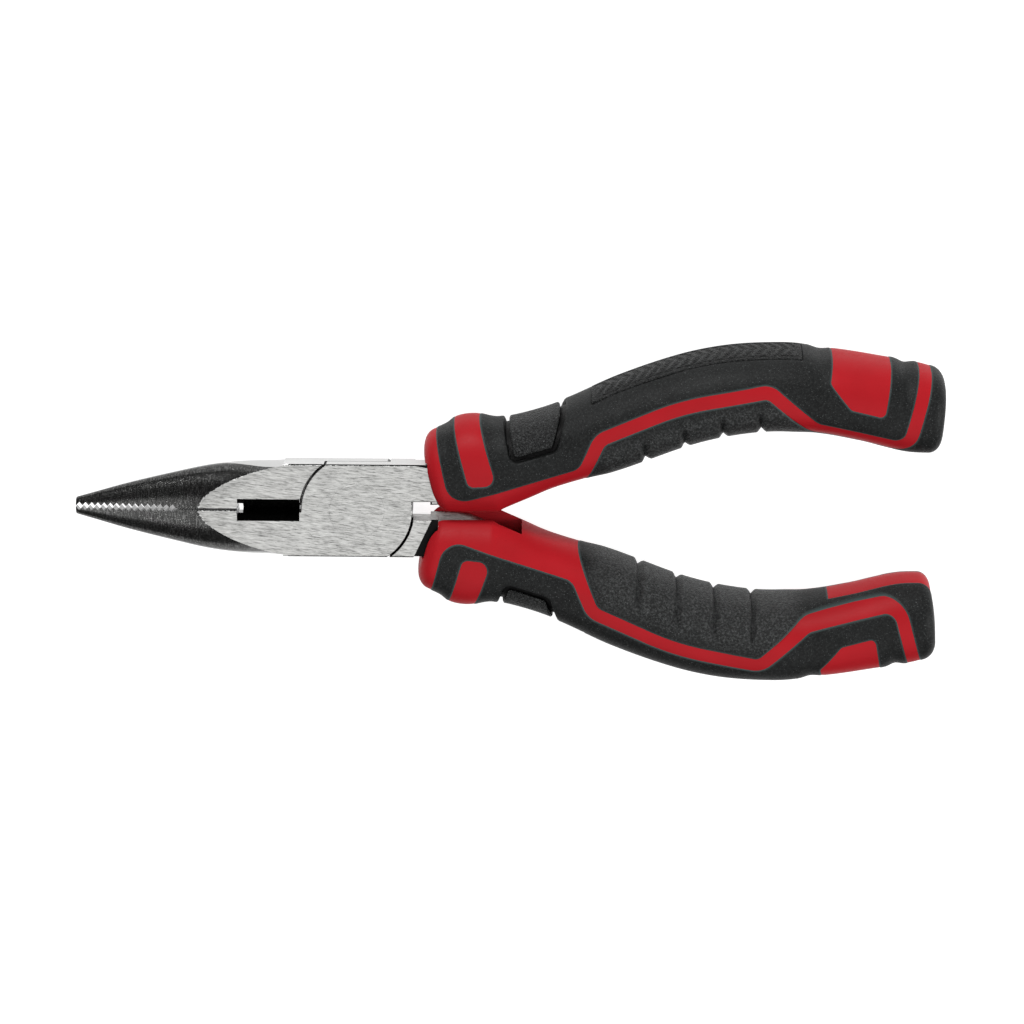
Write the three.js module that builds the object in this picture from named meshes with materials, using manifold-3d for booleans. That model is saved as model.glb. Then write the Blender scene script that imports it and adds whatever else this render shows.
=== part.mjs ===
// Long-nose pliers with a side cutter and three-component grips, jaws closed.
// Millimetres. The pivot axis is Z, the jaws point to -X, the front face looks to +Z and the origin
// is the centre of the rivet's back face. The tool is the same turned half a turn about the line
// through the jaws, so one lever and one grip are made and the second of each is a turned copy.
import * as THREE from "three";
import { mergeVertices } from "three/addons/utils/BufferGeometryUtils.js";
import Module from "manifold-3d";

const wasm = await Module();
wasm.setup();

// Fits
const GAP = 0.3; // air between neighbouring pieces
const FACE_GAP = 0.15; // half the air between the two levers where they meet

// Head
const THICKNESS = 9; // joint, face to face
const JOINT_HALF_WIDTH = 8.9;
const SHOULDER_RADIUS = 10.9; // arcs that bound the half laps
const RIVET = { head: 5.25, shank: 4, headDepth: 1.4 };
const TIP_X = -53.8;
const JOINT_X = -14; // where the nose has grown to the joint's full section
const NOSE_HALF_WIDTH = [
  [TIP_X, 1.6], [-51, 2.4], [-44, 4.4], [-35, 6.6], [-28, 8.1], [-21, 8.85], [JOINT_X, JOINT_HALF_WIDTH],
];
const NOSE_HALF_DEPTH = [
  [TIP_X, 1.3], [-51, 1.6], [-41, 2.9], [-30, 4.5], [-23.5, 6], [-19, 8], [-16.5, 10.5], [JOINT_X, 16],
];
const TEETH = { count: 16, pitch: 1.2, depth: 0.65, start: TIP_X + 0.1 };
const CUTTER = { from: -22.8, to: -SHOULDER_RADIUS, flare: 2.1, relief: 1, reliefHalf: 0.45 };
// Directions, in degrees about the pivot, where the shoulder arcs start and end, and X of their outer ends
const SHOULDER = { jaw: 181.6, jawEnd: 236, tang: 9.6, tangEnd: 56, outerX: 6 };

// Tang, the steel tail of a lever inside its grip
const TANG_ROOT = { inner: 1.8, end: 15.5 };
const ROOT_STEP = { inner: 14.6, outer: 10.4 }; // where the root thins, at its inner and outer side
const TANG_HALF_DEPTH = 3;
const TANG_LINE = [
  [14, 5.2], [21.5, 5.5], [25.3, 7.1], [30, 9.2], [45, 14.2], [60, 20.6], [72, 23.2], [88, 23],
];
const TANG_HALF_WIDTH = { root: 3.4, end: 2.4 };

// Grip: outer and inner profile, half depth and the edges of its colour fields, upper handle
const OUTER = [
  [12.6, 12.2], [14.3, 13.8], [18, 15.6], [20, 17.1], [23.2, 17.6], [27.5, 16.9], [38, 19.9], [49.5, 25],
  [61, 28.9], [70, 30.7], [80, 31.3], [85, 31], [87.5, 30.3], [90.5, 30.4], [99, 29.2], [106.5, 27.9],
  [111.5, 26.3],
];
const INNER = [
  [12.6, 0.35], [25.2, 0.35], [27, 1.15], [32, 3.15], [38, 5.6], [49.5, 9.1], [64.5, 14.6], [76, 16.8],
  [86, 16.6], [95, 15], [104.5, 12.8], [111.5, 12.6],
];
const HALF_DEPTH = [
  [12.6, 6.3], [20, 7], [34, 7.3], [50, 7.8], [72, 8.5], [88, 8.1], [100, 7.6], [111.5, 7.2],
];
const GRIP = { front: 13.4, end: 110.9, edge: 2.2, power: 2.5, middle: 20.5 };
const LEAN = { front: -0.27, end: 0.09, length: 22 }; // of the end faces, in X for each millimetre of Y
const CANT = 0.29; // the grips and tangs lean this much in Y for each millimetre of Z
const SEAT = { upper: 0.5, lower: -0.5 }; // how far each grip sits from its nominal place on the tang
const SKIN = 1.2; // thickness of the soft skins
const PANEL_SKIN = 0.8;
const FAR = 40; // beyond every surface of a handle

// Corners [x, y, radius] of the fields' edges
const STRIPE_WIDTH = 2.4;
const STRIPE = [[41.6, 7.4, 0], [45.6, 16.6, 3.5], [61, 23.2, 50], [77.6, 26.3, 3], [86.4, 18.9, 4],
  [104, 14.8, 3.4], [110.8, FAR, 0]];
const BACK_FRONT_EDGE = [[8.4, FAR, 0], [17.3, 3.1, 3.8], [41.7, 10.7, 3]];
const WINDOW = [[11.3, FAR, 0], [20.8, 7, 1.3], [26.1, 7.4, 1.8], [15.2, FAR, 0]];
const THUMB_PAD = [[22.7, FAR, 0], [29.5, 12.7, 0.6], [36.5, 14.8, 0.6], [43.9, FAR, 0]];
const TAIL_PANEL = [[91.8, FAR, 0], [89.2, 27.5, 0.8], [93.1, 22.8, 1], [99.5, 21.2, 1], [102.8, FAR, 0]];
const FINGER_LOW = { x: 38.5, y: -5 }; // corner that closes the finger field below the handle
const BACK_PANEL = { from: 44, to: 84, halfDepth: 4 };
const TAIL_STRIP = { from: 90.8, halfDepth: 3, top: 22.5 };
const CHANNEL = { end: 32, topAtEnd: 9, topAtPivot: 5 };

// Fineness of the meshes
const RING_POINTS = { nose: 24, grip: 16 };
const RIVET_SEGMENTS = 32;
const ARC_STEPS = 8;
const CORNER_STEPS = 3;
const TANG_STEPS = 12;
const GRIP_STEPS = 15;

const STEEL = new THREE.MeshStandardMaterial({ color: "#b9b9b6", roughness: 0.35, metalness: 1 });
const RIVET_STEEL = new THREE.MeshStandardMaterial({ color: "#c2c2c0", roughness: 0.3, metalness: 1 });
const RED = new THREE.MeshStandardMaterial({ color: "#b8292f", roughness: 0.45, metalness: 0 });
const BLACK = new THREE.MeshStandardMaterial({ color: "#2c2e2e", roughness: 0.7, metalness: 0 });

// Closed geometry as a solid, and back.
function solidOf(geometry) {
  const bare = geometry.index ? geometry.toNonIndexed() : geometry.clone();
  bare.deleteAttribute("normal");
  bare.deleteAttribute("uv");
  const merged = mergeVertices(bare, 1e-4);
  return new wasm.Manifold(new wasm.Mesh({
    numProp: 3,
    vertProperties: merged.attributes.position.array,
    triVerts: new Uint32Array(merged.index.array),
  }));
}

function geometryOf(solid) {
  const { vertProperties, triVerts } = solid.getMesh();
  const geometry = new THREE.BufferGeometry();
  geometry.setAttribute("position", new THREE.BufferAttribute(vertProperties, 3));
  geometry.setIndex(new THREE.BufferAttribute(triVerts, 1));
  geometry.computeVertexNormals();
  return geometry;
}

// Evenly spaced numbers, both ends included.
function spread(from, to, steps) {
  return Array.from({ length: steps + 1 }, (_, i) => from + ((to - from) * i) / steps);
}

// A smooth function y(x) through the given points.
function through(points) {
  const slope = points.map((_, i) => {
    const a = points[Math.max(i - 1, 0)];
    const b = points[Math.min(i + 1, points.length - 1)];
    return (b[1] - a[1]) / (b[0] - a[0]);
  });
  return (x) => {
    const last = points.length - 2;
    const i = THREE.MathUtils.clamp(points.findIndex((p) => p[0] > x) - 1, 0, last);
    const k = x >= points[last + 1][0] ? last : i;
    const [x0, y0] = points[k];
    const [x1, y1] = points[k + 1];
    const w = x1 - x0;
    const t = (x - x0) / w;
    const s = 1 - t;
    return y0 * (1 + 2 * t) * s * s + slope[k] * w * t * s * s
      + y1 * (1 + 2 * s) * t * t - slope[k + 1] * w * s * t * t;
  };
}

// A polyline whose corners are rounded to their radii.
function rounded(corners) {
  return corners.flatMap(([x, y, radius], i) => {
    const at = new THREE.Vector2(x, y);
    if (!radius) return [at];
    const back = new THREE.Vector2(...corners[i - 1]).sub(at).normalize();
    const ahead = new THREE.Vector2(...corners[i + 1]).sub(at).normalize();
    const half = back.angleTo(ahead) / 2;
    const reach = radius / Math.tan(half);
    const middle = back.clone().add(ahead).setLength(radius / Math.sin(half)).add(at);
    const start = back.clone().multiplyScalar(reach).add(at).sub(middle);
    const turn = (Math.PI - 2 * half) * Math.sign(back.cross(ahead)) * -1;
    return spread(0, turn, CORNER_STEPS).map((angle) =>
      start.clone().rotateAround(new THREE.Vector2(), angle).add(middle));
  });
}

// Corners moved sideways by d, to the left of their direction; the arcs stay concentric.
function besides(corners, d) {
  return corners.map(([x, y, radius], i) => {
    const at = new THREE.Vector2(x, y);
    const into = i > 0 ? at.clone().sub(new THREE.Vector2(...corners[i - 1])).normalize() : null;
    const out = i < corners.length - 1 ? new THREE.Vector2(...corners[i + 1]).sub(at).normalize() : null;
    const a = into ?? out;
    const b = out ?? into;
    const miter = d / (1 + a.dot(b));
    const left = Math.sign(a.cross(b));
    return [x - (a.y + b.y) * miter, y + (a.x + b.x) * miter, radius ? radius - d * left : 0];
  });
}

// Slides geometry along Y by lean for each millimetre of Z.
const leant = (geometry, lean) => geometry.applyMatrix4(new THREE.Matrix4().makeShear(0, 0, 0, 0, 0, lean));

// An outline extruded from z0 to z1, grown sideways by grow and leant in Y by lean per unit of Z.
function prism(outline, z0, z1, { grow = 0, lean = 0 } = {}) {
  const points = THREE.ShapeUtils.isClockWise(outline) ? [...outline].reverse() : outline;
  const cap = grow ? 0.01 : 0;
  const geometry = new THREE.ExtrudeGeometry(new THREE.Shape(points), {
    depth: z1 - z0 - 2 * cap,
    bevelEnabled: grow !== 0,
    bevelThickness: cap,
    bevelSize: 0,
    bevelOffset: grow,
    bevelSegments: 1,
  });
  return solidOf(leant(geometry.translate(0, 0, z0 + cap), lean));
}

function box(x0, x1, y0, y1, z0, z1) {
  const geometry = new THREE.BoxGeometry(x1 - x0, y1 - y0, z1 - z0);
  return solidOf(geometry.translate((x0 + x1) / 2, (y0 + y1) / 2, (z0 + z1) / 2));
}

// A closed skin over rings of points, with flat ends.
function loft(rings) {
  const n = rings[0].length;
  const positions = rings.flat().flatMap((p) => [p.x, p.y, p.z]);
  const index = [];
  for (let r = 0; r + 1 < rings.length; r++) {
    for (let i = 0; i < n; i++) {
      const a = r * n + i;
      const b = r * n + ((i + 1) % n);
      index.push(a, b, a + n, b, b + n, a + n);
    }
  }
  const last = (rings.length - 1) * n;
  for (let i = 1; i + 1 < n; i++) {
    index.push(0, i + 1, i, last, last + i, last + i + 1);
  }
  const geometry = new THREE.BufferGeometry();
  geometry.setAttribute("position", new THREE.Float32BufferAttribute(positions, 3));
  geometry.setIndex(index);
  return solidOf(geometry);
}

// One ring of a superellipse in the plane of X, counter-clockwise seen from -X.
function ring(x, y, halfWidth, halfDepth, power, points, lean = 0) {
  return Array.from({ length: points }, (_, i) => {
    const angle = (2 * Math.PI * i) / points;
    const c = Math.cos(angle);
    const s = Math.sin(angle);
    const dy = halfWidth * Math.sign(c) * Math.abs(c) ** (2 / power);
    const dz = halfDepth * Math.sign(s) * Math.abs(s) ** (2 / power);
    return new THREE.Vector3(x + lean * dy, y + dy, dz);
  });
}

// ---- Levers ----

// The forged head before it is split: a rounded nose that runs into the flat ground joint.
function headBlank() {
  const width = through(NOSE_HALF_WIDTH);
  const depth = through(NOSE_HALF_DEPTH);
  const tipEnd = NOSE_HALF_WIDTH[1][0];
  const stations = [...spread(TIP_X, tipEnd, 2), ...spread(tipEnd + 4, JOINT_X, 8)];
  const nose = loft(stations.map((x) => ring(x, 0, width(x), depth(x), 2, RING_POINTS.nose)));
  const half = THICKNESS / 2;
  const joint = box(JOINT_X - 0.01, TANG_ROOT.end, -JOINT_HALF_WIDTH, JOINT_HALF_WIDTH, -half, half);
  const slab = box(TIP_X - 1, TANG_ROOT.end, -FAR, FAR, -half, half);
  return nose.add(joint).intersect(slab);
}

// An arc about the pivot, in degrees.
function pivotArc(radius, from, to) {
  return spread(from, to, ARC_STEPS).map((deg) => {
    const a = THREE.MathUtils.degToRad(deg);
    return new THREE.Vector2(radius * Math.cos(a), radius * Math.sin(a));
  });
}

// Lower jaw seen from the front: toothed gripping face, parting face and the shoulder arc.
function jawOutline() {
  const teeth = Array.from({ length: TEETH.count }, (_, i) => {
    const x = TEETH.start + i * TEETH.pitch;
    const root = new THREE.Vector2(x + TEETH.pitch / 2, -FACE_GAP - TEETH.depth);
    return [new THREE.Vector2(x, -FACE_GAP), root];
  }).flat();
  const teethEnd = TEETH.start + TEETH.count * TEETH.pitch;
  const low = -JOINT_HALF_WIDTH - 1;
  return [
    new THREE.Vector2(TIP_X - 1, -FACE_GAP),
    ...teeth,
    new THREE.Vector2(teethEnd, -FACE_GAP),
    new THREE.Vector2(teethEnd + 0.2, -GAP),
    ...pivotArc(SHOULDER_RADIUS, SHOULDER.jaw, SHOULDER.jawEnd),
    new THREE.Vector2(-SHOULDER.outerX, low),
    new THREE.Vector2(TIP_X - 1, low),
  ];
}

// Front half lap: a disc against the other lever's shoulders that runs into its own jaw and tang.
function lapOutline() {
  const disc = SHOULDER_RADIUS - GAP;
  const side = JOINT_HALF_WIDTH + 1;
  const overlap = SHOULDER_RADIUS + 2;
  const corner = THREE.MathUtils.radToDeg(Math.asin(JOINT_HALF_WIDTH / disc));
  return [
    new THREE.Vector2(-overlap, -GAP),
    ...pivotArc(disc, SHOULDER.jaw, 180 - corner),
    new THREE.Vector2(-disc * Math.cos(THREE.MathUtils.degToRad(corner)), side),
    new THREE.Vector2(overlap, side),
    new THREE.Vector2(overlap, TANG_ROOT.inner),
    ...pivotArc(disc, SHOULDER.tang, -corner),
    new THREE.Vector2(disc * Math.cos(THREE.MathUtils.degToRad(corner)), -side),
    new THREE.Vector2(-overlap, -side),
  ];
}

// Full-thickness root of the tang, outside the other lever's lap.
function tangRootOutline() {
  const side = JOINT_HALF_WIDTH + 1;
  return [
    ...pivotArc(SHOULDER_RADIUS, SHOULDER.tang, SHOULDER.tangEnd),
    new THREE.Vector2(SHOULDER.outerX, side),
    new THREE.Vector2(TANG_ROOT.end, side),
    new THREE.Vector2(TANG_ROOT.end, TANG_ROOT.inner),
  ];
}

// What the root loses at the far face, so that it thins to the depth of the tang.
function rootStep() {
  const side = JOINT_HALF_WIDTH + 1;
  const end = TANG_ROOT.end + 1;
  const inner = TANG_ROOT.inner - 1;
  const corners = [[ROOT_STEP.inner, inner], [end, inner], [end, side], [ROOT_STEP.outer, side]];
  return prism(corners.map((p) => new THREE.Vector2(...p)), -THICKNESS, -TANG_HALF_DEPTH);
}

// The rest of the tang, a tapering bar along the middle of the grip.
function tangOutline() {
  const line = through(TANG_LINE);
  const end = TANG_LINE.at(-1)[0];
  const stations = spread(TANG_LINE[0][0], end, TANG_STEPS);
  const edge = (side) => stations.map((x) => {
    const t = (x - stations[0]) / (end - stations[0]);
    const halfWidth = THREE.MathUtils.lerp(TANG_HALF_WIDTH.root, TANG_HALF_WIDTH.end, t);
    return new THREE.Vector2(x, line(x) + side * halfWidth);
  });
  return [...edge(-1), ...edge(1).reverse()];
}

function tang({ grow = 0, lean = 0 } = {}) {
  const depth = TANG_HALF_DEPTH + grow;
  return prism(tangOutline(), -depth, depth, { grow, lean });
}

// Side cutter: both jaws slope from the faces to an edge at mid-depth, with a relief hole at the front end.
function cutterRecess() {
  const half = THICKNESS / 2;
  const { flare, relief, reliefHalf } = CUTTER;
  const upper = [[half + 1, flare], [half, flare], [0, FACE_GAP], [-half, flare], [-half - 1, flare]];
  const lower = upper.map(([z, y]) => [-z, -y]);
  const section = new THREE.Shape([...upper, ...lower].map((p) => new THREE.Vector2(...p)));
  const length = CUTTER.to - CUTTER.from;
  const groove = new THREE.ExtrudeGeometry(section, { depth: length, bevelEnabled: false });
  groove.rotateY(Math.PI / 2).translate(CUTTER.from, 0, 0);
  return solidOf(groove).add(box(CUTTER.from, CUTTER.from + relief, -reliefHalf, reliefHalf, -half, half));
}

// Rivet with a countersunk head ground flush at each face; the hole is the same shape, grown.
function rivetGeometry(grow = 0) {
  const half = THICKNESS / 2 + grow;
  const shoulder = THICKNESS / 2 - RIVET.headDepth + grow;
  const head = RIVET.head + grow;
  const shank = RIVET.shank + grow;
  const profile = [[0, -half], [head, -half], [shank, -shoulder], [shank, shoulder], [head, half], [0, half]];
  const geometry = new THREE.LatheGeometry(profile.map((p) => new THREE.Vector2(...p)), RIVET_SEGMENTS);
  return geometry.rotateX(Math.PI / 2);
}

// Front lever: lower jaw, front half lap and upper tang.
function lever() {
  const half = THICKNESS / 2;
  const blank = headBlank();
  const jaw = blank.intersect(prism(jawOutline(), -half, half)).subtract(cutterRecess());
  const lap = blank.intersect(prism(lapOutline(), FACE_GAP, half)).subtract(cutterRecess());
  const root = blank.intersect(prism(tangRootOutline(), -half, half)).subtract(rootStep());
  return jaw.add(lap).add(root).add(tang({ lean: -CANT })).subtract(solidOf(rivetGeometry(GAP)));
}

// ---- Grip: made upright, and leant by CANT when it is whole ----

// The outside of a grip, or a smaller copy of it inset below that surface.
function gripBody(inset = 0) {
  const outer = through(OUTER);
  const inner = through(INNER);
  const depth = through(HALF_DEPTH);
  const front = GRIP.front + inset;
  const end = GRIP.end - inset;
  const section = (x, pinch) => {
    const middle = (outer(x) + inner(x)) / 2;
    const halfWidth = (outer(x) - inner(x)) / 2 - inset - pinch;
    const nearFront = Math.max(0, 1 - (x - GRIP.front) / LEAN.length);
    const nearEnd = Math.max(0, 1 - (GRIP.end - x) / LEAN.length);
    const lean = LEAN.front * nearFront + LEAN.end * nearEnd;
    return ring(x, middle, halfWidth, depth(x) - inset - pinch, GRIP.power, RING_POINTS.grip, lean);
  };
  const edge = GRIP.edge;
  const caps = [0, 30, 60].map((deg) => THREE.MathUtils.degToRad(deg));
  const pinchAt = (a) => edge * (1 - Math.sin(a));
  const reachAt = (a) => edge * (1 - Math.cos(a));
  return loft([
    ...caps.map((a) => section(front + reachAt(a), pinchAt(a))),
    ...spread(front + edge, end - edge, GRIP_STEPS).map((x) => section(x, 0)),
    ...caps.toReversed().map((a) => section(end - reachAt(a), pinchAt(a))),
  ]);
}

// A colour field cut right through the handle, grown by grow.
function field(corners, grow = 0) {
  return prism(rounded(corners), -FAR, FAR, { grow });
}

// Everything on the outer side of the stripe: the back skin before its windows are cut.
function backField(grow = 0) {
  const [, ...stripe] = besides(STRIPE, STRIPE_WIDTH / 2);
  return field([...BACK_FRONT_EDGE, ...stripe], grow);
}

// Everything on the finger side of the stripe, round the tail.
function fingerField(grow = 0) {
  const stripe = besides(STRIPE, -STRIPE_WIDTH / 2);
  const past = GRIP.end + 10;
  return field([...stripe, [past, FAR, 0], [past, FINGER_LOW.y, 0], [FINGER_LOW.x, FINGER_LOW.y, 0]], grow);
}

// Panel along the back.
function panelField(grow = 0) {
  const depth = BACK_PANEL.halfDepth + grow;
  return box(BACK_PANEL.from - grow, BACK_PANEL.to + grow, GRIP.middle, FAR, -depth, depth);
}

// Strip of the hard core that shows along the inner side of the tail.
function tailStrip(grow = 0) {
  const depth = TAIL_STRIP.halfDepth + grow;
  return box(TAIL_STRIP.from - grow, GRIP.end + 5, 0, TAIL_STRIP.top + grow, -depth, depth);
}

// Layer between the surface of the grip and a depth below it.
const layer = (depth) => gripBody().subtract(gripBody(depth));

function gripPieces() {
  const skin = layer(SKIN);
  const backWindows = field(WINDOW).add(field(TAIL_PANEL));
  const back = skin.intersect(backField())
    .subtract(backWindows)
    .subtract(field(THUMB_PAD, 2 * GAP))
    .subtract(panelField(GAP));
  const finger = skin.intersect(fingerField()).subtract(tailStrip());
  const pad = skin.intersect(field(THUMB_PAD));
  const panel = layer(PANEL_SKIN).intersect(panelField());
  const pockets = backField(GAP).subtract(field(WINDOW, -GAP)).subtract(field(TAIL_PANEL, -GAP))
    .add(fingerField(GAP).subtract(tailStrip(-GAP)));
  return { core: core(pockets), back, finger, pad, panel };
}

// Socket of the tang's root, which stands square to the joint and so is leant the other way here.
function rootSocket() {
  const half = THICKNESS / 2 + GAP;
  const low = TANG_ROOT.inner - GAP;
  const high = JOINT_HALF_WIDTH + GAP;
  const end = TANG_ROOT.end + GAP + SEAT.upper;
  const outline = [[0, low], [end, low], [end, high], [0, high]].map((p) => new THREE.Vector2(...p));
  return prism(outline, -half, half, { lean: CANT });
}

// Hard core: the whole grip less the skins' pockets, the tang's socket and the channel open to the joint.
function core(pockets) {
  const depth = TANG_HALF_DEPTH + GAP;
  const channel = prism([
    new THREE.Vector2(0, -FAR), new THREE.Vector2(CHANNEL.end, -FAR),
    new THREE.Vector2(CHANNEL.end, CHANNEL.topAtEnd), new THREE.Vector2(0, CHANNEL.topAtPivot),
  ], -depth, depth);
  return gripBody()
    .subtract(pockets.subtract(gripBody(SKIN + GAP)))
    .subtract(rootSocket())
    .subtract(tang({ grow: GAP + SEAT.upper }))
    .subtract(channel);
}

// ---- Assembly ----

function named(name, geometry, material) {
  const mesh = new THREE.Mesh(geometry, material);
  mesh.name = name;
  return mesh;
}

const leverGeometry = geometryOf(lever());
const gripGeometry = Object.fromEntries(
  Object.entries(gripPieces()).map(([piece, solid]) => [piece, leant(geometryOf(solid), -CANT)]),
);

// One grip; side tells where its handle lies.
function gripOf(side, seat) {
  const group = new THREE.Group();
  group.position.x = seat;
  group.add(
    named(`grip_core_${side}`, gripGeometry.core, RED),
    named(`grip_back_skin_${side}`, gripGeometry.back, BLACK),
    named(`grip_finger_skin_${side}`, gripGeometry.finger, BLACK),
    named(`thumb_pad_${side}`, gripGeometry.pad, BLACK),
    named(`back_panel_${side}`, gripGeometry.panel, BLACK),
  );
  return group;
}

const front = new THREE.Group();
front.add(named("lever_front", leverGeometry, STEEL), gripOf("upper", SEAT.upper));

const back = new THREE.Group();
back.add(named("lever_back", leverGeometry, STEEL), gripOf("lower", SEAT.lower));
back.rotation.x = Math.PI;

const pliers = new THREE.Group();
pliers.add(front, back, named("pivot_rivet", rivetGeometry(), RIVET_STEEL));
pliers.position.z = THICKNESS / 2;

export default pliers;
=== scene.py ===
"""Looks of the long-nose pliers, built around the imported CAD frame.

Shapes are worked out in millimetres about the joint's mid-plane, as in the CAD model, for the front
lever and its upper grip. The back lever and the lower grip are the same pieces turned half a turn
about X. A grip is made upright, and leant in Y by CANT when it is whole, as its tang is.
"""
import math

import bmesh
import bpy
import numpy as np
from mathutils import Matrix, Vector


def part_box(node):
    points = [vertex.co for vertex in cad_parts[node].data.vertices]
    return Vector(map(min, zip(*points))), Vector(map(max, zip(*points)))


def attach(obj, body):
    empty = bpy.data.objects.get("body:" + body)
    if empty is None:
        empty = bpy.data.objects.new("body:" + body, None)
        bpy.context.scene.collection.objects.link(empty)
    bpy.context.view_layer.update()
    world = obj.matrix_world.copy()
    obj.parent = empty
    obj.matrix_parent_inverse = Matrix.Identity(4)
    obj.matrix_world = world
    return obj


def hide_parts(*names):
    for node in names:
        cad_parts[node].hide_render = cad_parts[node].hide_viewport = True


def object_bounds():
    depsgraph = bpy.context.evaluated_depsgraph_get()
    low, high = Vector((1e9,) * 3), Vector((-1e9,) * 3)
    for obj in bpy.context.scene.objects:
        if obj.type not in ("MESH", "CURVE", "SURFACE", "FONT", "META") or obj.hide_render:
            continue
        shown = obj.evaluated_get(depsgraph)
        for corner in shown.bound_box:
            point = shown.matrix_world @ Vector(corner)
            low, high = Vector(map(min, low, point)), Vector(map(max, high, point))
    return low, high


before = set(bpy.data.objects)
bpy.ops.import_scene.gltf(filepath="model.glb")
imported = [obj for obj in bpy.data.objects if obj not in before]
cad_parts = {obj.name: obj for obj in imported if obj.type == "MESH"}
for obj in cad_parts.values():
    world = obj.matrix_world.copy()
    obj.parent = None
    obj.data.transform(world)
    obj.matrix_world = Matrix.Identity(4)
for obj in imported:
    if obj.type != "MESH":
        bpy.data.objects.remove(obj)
CAD_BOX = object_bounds()

MM = 0.001
RIVET_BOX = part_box("pivot_rivet")
MID_Z = (RIVET_BOX[0][2] + RIVET_BOX[1][2]) / 2
THICKNESS = (RIVET_BOX[1][2] - RIVET_BOX[0][2]) / MM
FRONT = "front_half"
BACK = "back_half"

# Head, millimetres
GAP = 0.3  # air between neighbouring pieces
FACE_GAP = 0.15  # half the air between the two levers where they meet
JOINT_HALF_WIDTH = 8.9
SHOULDER_RADIUS = 10.9  # of the arcs that bound the half laps
RIVET_RADIUS = 5.25
RIVET_SHANK = 4.0
RIVET_HEAD_DEPTH = 1.4
HOLE_CLEARANCE = 0.05
TIP_X = -53.8
JOINT_X = -14.0  # where the nose has grown to the joint's full section
NOSE_HALF_WIDTH = [(TIP_X, 1.6), (-51, 2.4), (-44, 4.4), (-35, 6.6), (-28, 8.1), (-21, 8.85),
                   (JOINT_X, JOINT_HALF_WIDTH)]
NOSE_HALF_DEPTH = [(TIP_X, 1.3), (-51, 1.6), (-41, 2.9), (-30, 4.5), (-23.5, 6), (-19, 8), (-16.5, 10.5),
                   (JOINT_X, 16)]
TEETH_COUNT = 16
TOOTH_PITCH = 1.2
TOOTH_DEPTH = 0.65
TEETH_START = TIP_X + 0.1
CUTTER_FROM = -22.8
CUTTER_FLARE = 2.1
CUTTER_RELIEF = 1.0
RELIEF_HALF_WIDTH = 0.9
EDGE_OVERLAP = 0.002  # the cutter's edges meet just past the middle, so that no light shows between them
FACET_START = -26.5  # X where the facet ground along the side of the nose begins
FACET_SLOPE = 0.4  # how fast that facet widens, in Z for each millimetre of X
FACET_FROM_MIDDLE = 5.0
JAW_SHOULDER = (181.6, 236.0)  # directions about the pivot where a shoulder starts and ends, degrees
TANG_SHOULDER = (9.6, 56.0)
SHOULDER_OUTER_X = 6.0
ROOT_INNER = 1.8
ROOT_END = 15.5
ROOT_STEP_INNER = 14.6
ROOT_STEP_OUTER = 10.4
NEAR_STEP_DEPTH = 0.25
TANG_HALF_DEPTH = 3.0
TANG_HALF_WIDTHS = (3.4, 2.4)  # at the root and at the end
TANG_LINE = [(14, 5.2), (21.5, 5.5), (25.3, 7.1), (30, 9.2), (45, 14.2), (60, 20.6), (72, 23.2), (88, 23)]
JOINT_CHAMFER = 0.25
LEVER_CHAMFER = 0.12
TANG_CHAMFER = 0.3
RIVET_CHAMFER = 0.03
FACE_TOLERANCE = 0.01
SIDE_TOLERANCE = 0.02

# Grip, millimetres
OUTER = [(12.6, 12.2), (14.3, 13.8), (18, 15.6), (20, 17.1), (23.2, 17.6), (27.5, 16.9), (38, 19.9),
         (49.5, 25), (61, 28.9), (70, 30.7), (80, 31.3), (85, 31), (87.5, 30.3), (90.5, 30.4), (99, 29.2),
         (106.5, 27.9), (111.5, 26.3)]
INNER = [(12.6, 0.35), (25.2, 0.35), (27, 1.15), (32, 3.15), (38, 5.6), (49.5, 9.1), (64.5, 14.6),
         (76, 16.8), (86, 16.6), (95, 15), (104.5, 12.8), (111.5, 12.6)]
HALF_DEPTH = [(12.6, 6.3), (20, 7), (34, 7.3), (50, 7.8), (72, 8.5), (88, 8.1), (100, 7.6), (111.5, 7.2)]
GRIP_FRONT = 13.4
GRIP_END = 110.9
GRIP_EDGE = 2.2
GRIP_POWER = 2.5
GRIP_MIDDLE = 20.5
FRONT_LEAN = -0.27
END_LEAN = 0.09
LEAN_LENGTH = 22.0
CANT = 0.29  # the grips and tangs lean this much in Y for each millimetre of Z
SEAT = {"upper": 0.5, "lower": -0.5}  # how far each grip sits from its nominal place on the tang
CORE_SINK = 1.3  # how far the core lies below the surface under the skins
FAR = 40.0  # beyond every surface of a handle

STRIPE_WIDTH = 2.4
STRIPE = [(41.6, 7.4, 0), (45.6, 16.6, 3.5), (61, 23.2, 50), (77.6, 26.3, 3), (86.4, 18.9, 4),
          (104, 14.8, 3.4), (110.8, FAR, 0)]
BACK_FRONT_EDGE = [(8.4, FAR, 0), (17.3, 3.1, 3.8), (41.7, 10.7, 3)]
WINDOW = [(11.3, FAR, 0), (20.8, 7, 1.3), (26.1, 7.4, 1.8), (15.2, FAR, 0)]
THUMB_PAD = [(22.7, FAR, 0), (29.5, 12.7, 0.6), (36.5, 14.8, 0.6), (43.9, FAR, 0)]
TAIL_PANEL = [(91.8, FAR, 0), (89.2, 27.5, 0.8), (93.1, 22.8, 1), (99.5, 21.2, 1), (102.8, FAR, 0)]
BACK_PANEL = (44.0, 84.0, 4.0)  # start, end, half depth
TAIL_STRIP = (90.8, 22.5, 3.0)  # start, top, half depth
TAIL_STRIP_MIDDLE = 0.9
FINGER_LOW = (38.5, -5)  # corner that closes the finger field below the handle
CHANNEL_END = 32.0
CHANNEL_TOP = (5, 9)  # above the pivot and at the channel's end
PAD_GROOVE = 1.1


# ---- Curves and outlines ----

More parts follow.
